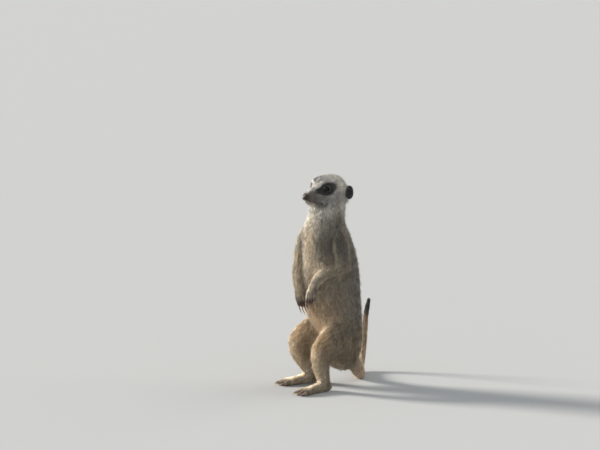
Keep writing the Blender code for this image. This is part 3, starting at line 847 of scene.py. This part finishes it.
def paint_head(paint):
    """Pale head and throat with greyer crown, nape and forehead, and painted shade on the cheeks
    and the sides of the muzzle.
    """
    out, (back, up) = np.abs(paint.q[:, 0]), paint.q[:, 1:].T
    paint(WHITE, 0.80 * paint.head)
    nape = ramp(back, 10, 34) * ramp(paint.height, 200, 240)
    paint(CROWN, 0.85 * nape)
    crown = ramp(up, 3, 12) * ramp(back, -14, 2) * paint.head
    paint(CROWN, 0.6 * crown)
    paint(FACE_GREY_AND_SHADE * 0.85, 0.8 * paint.head * ramp(up, -1, 5) * (1 - ramp(back, 0, 12)))
    throat = ramp(paint.height, 200, 236) * ramp(paint.forward, -0.2, 0.6) * (1 - crown)
    paint(WHITE, 0.8 * throat)
    # painted shade: the pale cheeks are greyed
    cheek_shade = ramp(out, 9, 15) * bump(up, -8, 14) * bump(back, 8, 22)
    paint(FACE_GREY_AND_SHADE * 0.9, 0.75 * cheek_shade)
    # painted shade: the sides of the muzzle between the eye patches and the lips are darkened
    paint(FACE_GREY_AND_SHADE * 0.7, 0.7 * bump(back, -4, 13) * bump(paint.lip, 5, 8) * ramp(out, 4, 9))


def paint_muzzle(paint):
    """Brown sides and end of the muzzle over a white chin."""
    q, lip = paint.q, paint.lip
    out, back = np.abs(q[:, 0]), q[:, 1]
    side = ramp(out, 1.5, 4.5) * (1 - ramp(back, -15, -3))
    side = side * ramp(lip, -0.6, 0.6) * (1 - ramp(q[:, 2] + 0.35 * back, -9.5, -5.5))
    paint(MUZZLE, 0.85 * side)
    chin = (1 - ramp(lip, -3.5, -1.5)) * (1 - ramp(back, 0, 12)) * paint.head
    paint(WHITE, 0.9 * chin)
    jaw = ramp(lip, -5.0, -2.0) * (1 - ramp(lip, -0.8, 0)) * bump(back, -8, 9)
    paint(MUZZLE, 0.6 * jaw * ramp(out, 3, 7))
    tip = 1 - ramp(away_from(q, *NOSE_TIP), 0.8, 1.25)
    paint(MUZZLE * 0.8, 0.85 * tip * ramp(lip, -0.6, 0.6))


def paint_face(paint):
    """Dark patches, painted shade on the lids round the eyes, ears, slit of the mouth and pad of
    the nose.
    """
    q = paint.q
    paint(PATCH, eye_patch(q))
    # painted shade: a darker ring round each eye, over the lids where they catch light
    paint(PATCH * 0.5, 0.85 * (1 - ramp(nearer(q, EYE_PLACE), 5.5, 7.5)))
    paint(PATCH, ear_mask(q))
    for sign in SIDES.values():
        slit = np.exp(-(mouth_distance(q) / 0.8) ** 2) * (q[:, 0] * sign > -0.5)
        paint(MUZZLE * 0.4, 0.9 * slit * (q[:, 2] > -24))
    paint(NOSE_PAD, 1 - ramp(away_from(q, *PAD), 0.95, 1.12))


def paint_digits(paint):
    """Darker fingers and toes, pink finger tips, and darker hair with painted shade in the
    grooves between them.
    """
    arm, leg = paint.shares["arm"], paint.shares["leg"]
    for _, tip, _, _, kind, _ in digit_lines():
        away = away_from(paint.points, np.array(tip))
        limb, share = (arm, 0.75) if kind == "hand" else (leg, 0.5)
        limb = ramp(limb, 0.5, 0.8)
        paint(DIGIT, share * limb * (1 - ramp(away, 4, 12)))
        if kind == "hand":
            paint(PINK, 0.7 * limb * (1 - ramp(away, 1.8, 3.4)))
    nearest, second = digit_distances(paint.points)
    # darker hair and painted shade along the grooves between neighbouring digits
    between = (1 - ramp(second - nearest, 0.2, 1.4)) * (nearest < 5)
    paint(DIGIT * 0.5, 0.6 * between * on_limbs(paint.shares, 0.5, 0.8))


def markings(points, normals, shares, along):
    """All colours of the coat, flecked, with painted shade in the folds where the limbs leave
    the trunk.
    """
    paint = Paint(points, normals, shares, along)
    for layers in (paint_trunk, paint_legs, paint_arms, paint_bands, paint_tail, paint_head,
                   paint_muzzle, paint_face, paint_digits):
        layers(paint)
    # painted shade: the coat is darkened along the folds where the arms and legs leave the trunk
    fold = np.maximum(limb_edge(shares, "arm"), 0.3 * limb_edge(shares, "leg"))
    tone = (1 + 0.12 * paint.cloud + 0.12 * paint.fleck) * (1 - 0.22 * fold)
    return paint.looks * tone[:, None]


# ---------------- coat
def tuft_sizes(points, shares, along):
    """Length and width of the tufts, and how many grow on a square millimetre."""
    q = to_head(points)
    length = blended(by_region(TUFT_LENGTH, q, along), shares)
    ear = ear_mask(q)
    length = length * (1 - ear) + 1.5 * ear
    length = np.minimum(length, 1.5 + 7.5 * ramp(nearer(q, EAR_PLACE), 7, 15))
    length = np.where(eye_patch(q) > 0.3, np.minimum(length, 2.2), length)
    nearest, _ = digit_distances(points)
    short = np.minimum(length, 1.4 + 0.42 * np.maximum(nearest - 2.5, 0))
    short = np.minimum(short, 1.0 + 9 * (1 - digit_ends(points, 3, 14)))
    limb = on_limbs(shares)
    length = length * (1 - limb) + short * limb
    number = np.clip(11.5 / length, 1.05, 6.5) * (2 - ramp(length, 2.5, 6))
    return {"length": length, "width": 0.11 + 0.037 * length, "number": number}


def unwrap(skin):
    """Unwraps the skin's own shape."""
    bpy.ops.object.select_all(action="DESELECT")
    bpy.context.view_layer.objects.active = skin
    skin.select_set(True)
    skin.data.uv_layers.new(name="OFBake")
    bpy.ops.object.mode_set(mode="EDIT")
    bpy.ops.mesh.select_all(action="SELECT")
    bpy.ops.uv.smart_project(angle_limit=math.radians(66), island_margin=0.002)
    bpy.ops.object.mode_set(mode="OBJECT")


def spread_roots(points, triangles, fields, chance):
    """Places for tufts over the skin, evenly by the number wanted on each area."""
    a, b, c = (points[triangles[:, k]] for k in range(3))
    area = np.linalg.norm(np.cross(b - a, c - a), axis=1) / 2
    number = fields["number"] * (1 - fields["bare"])
    wanted = area * number[triangles].mean(axis=1)
    short = fields["length"][triangles].mean(axis=1) < SHORT
    cost = np.average(np.where(short, STRAIGHT_FACES, BENT_FACES), weights=wanted)
    count = int(COAT_FACES / cost / (1))
    total = np.cumsum(wanted)
    steps = (np.arange(count) + chance.random(count)) / count * total[-1]
    chosen = np.searchsorted(total, steps).clip(0, len(triangles) - 1)
    r1, r2 = np.sqrt(chance.random(count)), chance.random(count)
    shares = np.stack([1 - r1, r1 * (1 - r2), r1 * r2], axis=1)
    return chosen, shares


def at_roots(values, corners, shares):
    """A field of the skin's points, at places inside triangles."""
    found = values[corners]
    if found.ndim == 2:
        return (found * shares).sum(axis=1)
    return (found * shares[:, :, None]).sum(axis=1)


def drawn_to_skin(tree, points):
    """The nearest place of the skin to each point, with its triangle."""
    places = np.empty_like(points)
    numbers = np.empty(len(points), int)
    for k, point in enumerate(points):
        place, _, number, _ = tree.find_nearest(point)
        places[k] = place
        numbers[k] = number
    return places, numbers


def lay_tufts(root, way, length, surface, fields):
    """Middles and tips of tufts laid along the skin, its normals there and the tips' depth."""
    points, triangles = surface
    tree = BVHTree.FromPolygons(points.tolist(), triangles.tolist())
    middle, numbers = drawn_to_skin(tree, root + way * (0.5 * length)[:, None])
    middle_normal = unit(fields["normal"][triangles[numbers]].mean(axis=1))
    bent = laid_down(way, middle_normal)
    tip, numbers = drawn_to_skin(tree, middle + bent * (0.5 * length)[:, None])
    tip_normal = unit(fields["normal"][triangles[numbers]].mean(axis=1))
    tip_depth = np.maximum(fields["depth"][triangles[numbers]].mean(axis=1), 0.4)
    return middle, middle_normal, tip, tip_normal, tip_depth


def over_nape(root, way, height, length, normal):
    """Where tufts that hang over the nape have their middles and tips, and their share."""
    hang = near_place(root, *NAPE_FRINGE)[:, None]
    out = raised(root, normal, height)
    fall = unit(np.array((0, -0.16, -1)) + 0.3 * (way - (0, 0, -1)))
    return out + fall * (0.6 * length)[:, None], out + fall * (1.25 * length)[:, None], hang


def grow_coat(skin, fields):
    """The tufts: their roots, middles and tips with sizes, colours and places on the unwrap."""
    chance = np.random.default_rng(11)
    points = points_of(skin.data)
    triangles, corners = triangles_of(skin.data)
    chosen, shares = spread_roots(points, triangles, fields, chance)
    count = len(chosen)
    here = {key: at_roots(fields[key], triangles[chosen], shares)
            for key in ("normal", "way", "depth", "length", "width", "colour")}
    root = at_roots(points, triangles[chosen], shares)
    normal, way = unit(here["normal"]), here["way"]
    depth = np.maximum(here["depth"], 0.45)
    length = here["length"] * chance.uniform(0.72, 1.22, count)
    width = here["width"] * chance.uniform(0.75, 1.25, count) * 1
    side = np.cross(normal, way)
    sway = 0.24 * ripple(root, 9, 21) + 0.16 * ripple(root, 3.4, 22)
    sway += chance.normal(0, 0.13, count)
    way = unit(way * np.cos(sway)[:, None] + side * np.sin(sway)[:, None])
    laid = lay_tufts(root, way, length, (points, triangles), fields)
    middle, middle_normal, tip, tip_normal, tip_depth = laid
    lift = chance.uniform(0.55, 1.12, count) + 0.16 * ripple(root, 5, 23)
    stray = chance.random(count) < 0.05
    lift = np.where(stray, lift + chance.uniform(0.3, 0.9, count), lift)
    lift = np.clip(lift, 0.3, 1.8) * (1 + 0.8 * near_place(root, *NAPE_COAT))
    middle = raised(middle, middle_normal, 0.62 * depth * lift)
    tip = raised(tip, tip_normal, np.minimum(depth, tip_depth * 1.2) * lift)
    hung_middle, hung_tip, hang = over_nape(root, way, depth * lift, length, normal)
    middle = middle * (1 - hang) + hang * hung_middle
    tip = tip * (1 - hang) + hang * hung_tip
    tip[:, 2] = np.maximum(tip[:, 2], 0.15)
    middle[:, 2] = np.maximum(middle[:, 2], 0.3)
    uv = rows(skin.data.uv_layers["OFBake"].data, "uv", 2)
    return {
        "root": root - normal * 0.25, "middle": middle, "tip": tip, "normal": normal,
        "middle_normal": middle_normal, "width": width, "colour": here["colour"],
        "uv": at_roots(uv, corners[chosen], shares),
        "region": fields["region"][triangles[chosen, 0]],
        "tone": chance.random(count), "order": root[:, 2],
        "short": fields["length"][triangles[chosen]].mean(axis=1) < SHORT,
    }


def tuft_points(coat, picked, short):
    """The points of each tuft: three round its root, three round its bend, and its tip."""
    root, middle, tip = (coat[key][picked] for key in ("root", "middle", "tip"))
    width = coat["width"][picked][:, None]
    stations = [(root, middle - root, coat["normal"][picked], 0.8)]
    if not short:
        stations.append((middle, tip - root, coat["middle_normal"][picked], 1.0))
    rings = []
    for place, ahead, normal, share in stations:
        side = unit(np.cross(normal, ahead))
        up = unit(np.cross(ahead, side))
        rings += [place - side * width * share / 2, place + side * width * share / 2,
                  place + up * width * share * 0.42]
    return np.stack([*rings, tip], axis=1)


def tuft_faces(size):
    """The triangles of one tuft with that many points: rings of three, then the tip."""
    pairs = ((0, 1), (1, 2), (2, 0))
    faces = []
    for base in range(0, size - 4, 3):
        for k, m in pairs:
            faces += [(base + k, base + m, base + m + 3), (base + k, base + m + 3, base + k + 3)]
    faces += [(size - 4 + k, size - 4 + m, size - 1) for k, m in pairs]
    return np.array(faces)


def tuft_mesh(name, coat, picked, short):
    """One piece of the coat: three-sided tufts that taper to a point, bent unless short."""
    n = len(picked)
    points = tuft_points(coat, picked, short)
    size = points.shape[1]
    indices = (tuft_faces(size)[None] + size * np.arange(n)[:, None, None]).reshape(-1)
    mesh = bpy.data.meshes.new(name)
    mesh.vertices.add(size * n)
    mesh.loops.add(len(indices))
    mesh.polygons.add(len(indices) // 3)
    put(mesh.vertices, "co", points)
    put(mesh.loops, "vertex_index", indices, np.int32)
    put(mesh.polygons, "loop_start", np.arange(0, len(indices), 3), np.int32)
    reach = np.linspace(-1, 1, size // 3 + 1)
    spots = [(across, along) for along in reach[:-1] for across in (-1, 1, 0)] + [(0, 1)]
    spots = coat["uv"][picked][:, None, :] + PATCH_SIZE / 2 * np.array(spots)[None]
    spots = np.clip(spots.reshape(-1, 2)[indices], 0, 1)
    put(mesh.uv_layers.new(name="OFBake").data, "uv", spots)
    strand = [*np.repeat((reach[:-1] + 1) / 2, 3), 1.0]
    add_colours(mesh, np.repeat(coat["colour"][picked], size, axis=0))
    add_numbers(mesh, "tone", np.repeat(coat["tone"][picked], size))
    add_numbers(mesh, "strand", np.tile(strand, n))
    mesh.shade_smooth()
    mesh.update()
    mesh.validate()
    return mesh


def make_coat(coat, look):
    """Every piece of the coat, by region, its short tufts apart from its long ones."""
    for region, name in enumerate(REGIONS):
        for short, kind in ((False, "long"), (True, "short")):
            members = np.flatnonzero((coat["region"] == region) & (coat["short"] == short))
            members = members[np.argsort(coat["order"][members], kind="stable")]
            faces = len(members) * (STRAIGHT_FACES if short else BENT_FACES)
            if not faces:
                continue
            groups = np.array_split(members, math.ceil(faces / MOST_FACES))
            for number, picked in enumerate(groups):
                title = f"fur_{name}_{kind}_{number + 1}"
                place_piece(tuft_mesh(title, coat, picked, short), look, "coat")


def add_colours(mesh, colours):
    """Stores a colour for each point, as the markings read it."""
    layer = mesh.color_attributes.new("markings", "FLOAT_COLOR", "POINT")
    put(layer.data, "color", np.column_stack([colours, np.ones(len(colours))]))


def add_numbers(mesh, name, numbers):
    """Stores a number for each point."""
    put(mesh.attributes.new(name, "FLOAT", "POINT").data, "value", numbers)


# ---------------- materials
class Nodes:
    """Short ways to add and join shader nodes."""

    def __init__(self, name):
        self.material = bpy.data.materials.new(name)
        self.material.use_nodes = True
        self.tree = self.material.node_tree

    def feed(self, node, **inputs):
        """Sets inputs of a node to constants, or joins other nodes' outputs to them."""
        for key, value in inputs.items():
            socket = node.inputs[key.replace("_", " ")]
            if isinstance(value, bpy.types.NodeSocket):
                self.tree.links.new(value, socket)
            else:
                socket.default_value = value

    def set(self, **inputs):
        """The shader's own inputs."""
        self.feed(self.tree.nodes["Principled BSDF"], **inputs)

    def add(self, kind, output, **inputs):
        """The output of a new node."""
        node = self.tree.nodes.new("ShaderNode" + kind)
        self.feed(node, **inputs)
        return node.outputs[output]

    def stored(self, name, output="Fac"):
        """Reads what is stored on the mesh."""
        found = self.add("Attribute", output)
        found.node.attribute_name = name
        return found

    def noise(self, scale, detail):
        """An irregular pattern in the piece's own coordinates."""
        place = self.add("TexCoord", "Object")
        return self.add("TexNoise", "Fac", Vector=place, Scale=scale, Detail=detail,
                        Roughness=0.55)

    def to_range(self, value, low, high, low_in=0.0, high_in=1.0):
        """A value taken from one range to another."""
        return self.add("MapRange", "Result", Value=value, From_Min=low_in, From_Max=high_in,
                        To_Min=low, To_Max=high)

    def patches(self, scale, detail, low, high):
        """An irregular factor between about low and high."""
        return self.to_range(self.noise(scale, detail), low, high, 0.3, 0.7)

    def shade(self, *factors):
        """Colours the surface by its markings, made lighter or darker by each factor."""
        shade = self.stored("markings", "Color")
        for factor in factors:
            scaled = self.add("VectorMath", "Vector")
            scaled.node.operation = "SCALE"
            self.feed(scaled.node, Vector=shade, Scale=factor)
            shade = scaled
        self.set(Base_Color=shade)

    def bumped(self, scale, strength, distance):
        """Raises the surface by an irregular pattern."""
        self.set(Normal=self.add("Bump", "Normal", Height=self.noise(scale, 2),
                                 Strength=strength, Distance=distance))


def coat_look():
    """Fur: the markings, darker at the roots, each tuft a little lighter or darker."""
    look = Nodes("meerkat_coat")
    tuft = look.to_range(look.stored("tone"), 0.56, 1.38)
    strand = look.to_range(look.stored("strand"), 0.68, 1.20)
    look.shade(tuft, strand, look.patches(260, 3, 0.78, 1.2))
    look.set(Roughness=0.62, Sheen_Weight=0.30, Sheen_Roughness=0.45, Specular_IOR_Level=0.28)
    return look.material


def skin_look():
    """Dark skin under the fur, lighter and smoother where it is bare."""
    look = Nodes("meerkat_skin")
    bare = look.stored("bare")
    look.shade(look.patches(420, 4, 0.42, 0.72), look.to_range(bare, 1.0, 1.55))
    look.set(Roughness=look.to_range(bare, 0.85, 0.52))
    look.bumped(1300, 0.4, 0.0003)
    return look.material


def eye_look():
    """A wet dark brown eye."""
    look = Nodes("meerkat_eye")
    look.shade(look.patches(900, 2, 0.8, 1.25))
    look.set(Roughness=0.5, Specular_IOR_Level=0.1, Coat_Weight=0.25, Coat_Roughness=0.03)
    return look.material


def claw_look():
    """Mottled horn with a slight gloss."""
    look = Nodes("meerkat_claw")
    look.shade(look.patches(700, 3, 0.75, 1.2))
    look.set(Roughness=0.38, Coat_Weight=0.2, Coat_Roughness=0.2)
    look.bumped(2500, 0.3, 0.0002)
    return look.material


# ---------------- eyes and claws
def mixed(one, two, share):
    """One colour passing into another as the share goes from 0 to 1."""
    share = min(1, max(0, share))
    return one * (1 - share) + two * share


def eye_shade(x, y, z):
    """The colour of the eye at a place of a ball of radius 1 that looks along z."""
    pupil = math.hypot(x * EYE_RADIUS / PUPIL[0], y * EYE_RADIUS / PUPIL[1])
    iris = math.hypot(x, y) * EYE_RADIUS / IRIS
    if z < 0:
        return EYE_OUTER
    brown = IRIS_BROWN * (1.15 - 0.5 * max(0, iris - 0.4))
    inner = mixed(PUPIL_BLACK, brown, (pupil - 0.9) / 0.2)
    return mixed(inner, EYE_OUTER, (iris - 0.92) / 0.16)


def make_eye(side, look):
    """An eyeball with its iris, its wide low pupil and the cornea's swelling over them."""
    sign = SIDES[side]
    bm = bmesh.new()
    bmesh.ops.create_uvsphere(bm, u_segments=64, v_segments=48, radius=1)
    shades = []
    for vertex in bm.verts:
        shades.append(eye_shade(*vertex.co))
        polar = math.acos(max(-1.0, min(1.0, vertex.co.z)))
        swell = CORNEA * max(0.0, 1 - (polar / 0.75) ** 2)
        vertex.co = vertex.co * (EYE_RADIUS + swell)
    out, across, up = (Vector(row) for row in eye_axes(sign))
    spin = Matrix((across, up, out)).transposed().to_4x4()
    bm.transform(HEAD @ Matrix.Translation(at_side(sign, EYE_PLACE)) @ spin)
    mesh = made_mesh("eyeball_" + side, bm)
    mesh.shade_smooth()
    add_colours(mesh, np.array(shades))
    place_piece(mesh, look, "eye", "eye_" + side)


def claw_ring(tip, ahead, up, length, radius, t):
    """A ring of places round a claw that curves down and tapers, deeper than it is wide."""
    across = ahead.cross(up).normalized()
    arc = CLAW_BEND * t
    run = length * math.sin(arc) / CLAW_BEND - CLAW_ROOTS[t > 0]
    middle = tip + ahead * run - up * (length * (1 - math.cos(arc)) / CLAW_BEND)
    rise = across.cross(ahead * math.cos(arc) - up * math.sin(arc))
    thick = radius * (1 - 0.93 * t ** 1.5)
    ring = []
    for k in range(CLAW_SIDES):
        angle = 2 * math.pi * k / CLAW_SIDES
        low = 0.8 if math.sin(angle) < 0 else 1.0
        offset = across * (0.72 * thick * math.cos(angle))
        ring.append(middle + offset + rise * (-thick * low * math.sin(angle)))
    return ring


def claw_mesh(name, *place):
    """One claw, darker at its root."""
    bm = bmesh.new()
    rings = []
    shades = []
    for k in range(CLAW_RINGS):
        t = k / (CLAW_RINGS - 1)
        rings.append([bm.verts.new(point) for point in claw_ring(*place, t)])
        shades += [CLAW_ROOT * (1 - t) + CLAW_END * t] * CLAW_SIDES
    for one, two in zip(rings, rings[1:]):
        for s in range(CLAW_SIDES):
            m = (s + 1) % CLAW_SIDES
            bm.faces.new((one[s], one[m], two[m], two[s]))
    bm.faces.new(rings[0])
    bm.faces.new(rings[-1])
    bmesh.ops.recalc_face_normals(bm, faces=bm.faces)
    mesh = made_mesh(name, bm)
    mesh.shade_smooth()
    add_colours(mesh, np.array(shades))
    return mesh


def make_claws(look):
    """Long digging claws on the hands and shorter ones on the feet."""
    for root, tip, up, side, kind, number in digit_lines():
        ahead = tip - root
        if kind == "foot":
            ahead.z = 0
        ahead.normalize()
        node = f"claw_{kind}_{side}_{number + 1}"
        reach, rise, length, radius = CLAWS[kind]
        seat = tip + ahead * reach + Vector((0, 0, rise))
        mesh = claw_mesh("horn_" + node, seat, ahead, up, length, radius)
        place_piece(mesh, look, "claw", node)


def finish_piece(piece, look, nodes):
    """Takes a piece into the frame, on the body it rides on."""
    into_frame(piece.data)
    piece.data.materials.append(look)
    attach(piece, "root")
    if nodes:
        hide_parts(*nodes)


def place_piece(mesh, look, slot, *nodes):
    """Makes a piece of a mesh."""
    finish_piece(made_object(mesh.name, mesh), look, nodes)


# ---------------- studio
AZIMUTH, ELEVATION = math.radians(55), math.radians(10)
DISTANCE = 8.0
FRAME_WIDTH = 0.78  # metres across the picture at the animal
AXIS = (-35.1, 208.8)  # right and up from the body's origin to the axis
SENSOR = 36.0
FLOOR_TONE = (0.40, 0.40, 0.395, 1)
SKY_TONE, SKY_STRENGTH = (0.86, 0.93, 1.0, 1), 0.63
SUN_TONE = (1.0, 0.955, 0.89)
SUNS = {  # right, up and back; strength and softness
    "key": ((-0.84, 0.34, -0.34), 8.8, 14),
    "rim": ((0.80, 0.45, -0.35), 1.5, 60),
}


def view_axes():
    """The camera's right, up and back."""
    right = Vector((math.cos(AZIMUTH), math.sin(AZIMUTH), 0))
    back = Vector((math.sin(AZIMUTH) * math.cos(ELEVATION),
                   -math.cos(AZIMUTH) * math.cos(ELEVATION), math.sin(ELEVATION)))
    return right, back.cross(right), back


def add_camera():
    """A long lens, low and well ahead of the animal's left side."""
    right, up, back = view_axes()
    data = bpy.data.cameras.new("camera")
    data.sensor_width = SENSOR
    data.lens = SENSOR * DISTANCE / FRAME_WIDTH
    camera = made_object("camera", data)
    aim = ORIGIN + (right * AXIS[0] + up * AXIS[1]) * MM
    spin = Matrix((right, up, back)).transposed().to_4x4()
    camera.matrix_world = Matrix.Translation(aim + back * DISTANCE) @ spin
    bpy.context.scene.camera = camera


def add_suns():
    """A low warm key light from the left and behind, and a wide weak one from the right."""
    right, _, back = view_axes()
    for name, (place, strength, softness) in SUNS.items():
        data = bpy.data.lights.new(name, "SUN")
        data.energy = strength
        data.angle = math.radians(softness)
        data.color = SUN_TONE
        towards = place[0] * right + place[1] * Vector((0, 0, 1)) + place[2] * back
        turn = towards.to_track_quat("Z", "Y").to_matrix().to_4x4()
        made_object(name, data).matrix_world = turn


def add_studio():
    """A pale floor under a pale sky."""
    bm = bmesh.new()
    bmesh.ops.create_grid(bm, x_segments=1, y_segments=1, size=40)
    floor = made_object("floor", made_mesh("floor", bm))
    look = Nodes("studio_floor")
    look.set(Base_Color=FLOOR_TONE, Roughness=0.9, Specular_IOR_Level=0.1)
    floor.data.materials.append(look.material)
    world = bpy.data.worlds.new("studio")
    world.use_nodes = True
    sky = world.node_tree.nodes["Background"]
    sky.inputs["Color"].default_value = SKY_TONE
    sky.inputs["Strength"].default_value = SKY_STRENGTH
    bpy.context.scene.world = world
    bpy.context.scene.view_settings.view_transform = "Standard"


# ---------------- the whole animal
def main():
    """Skin, coat, eyes, claws and studio."""
    skin, fields = make_skin()
    mesh = skin.data
    unwrap(skin)
    coat = grow_coat(skin, fields)
    add_colours(mesh, fields["colour"])
    add_numbers(mesh, "bare", fields["bare"])
    mesh.shade_smooth()
    mesh.materials.clear()
    finish_piece(skin, skin_look(), flesh_nodes())
    make_coat(coat, coat_look())
    eyes = eye_look()
    for side in SIDES:
        make_eye(side, eyes)
    make_claws(claw_look())
    add_camera()
    add_suns()
    add_studio()


main()
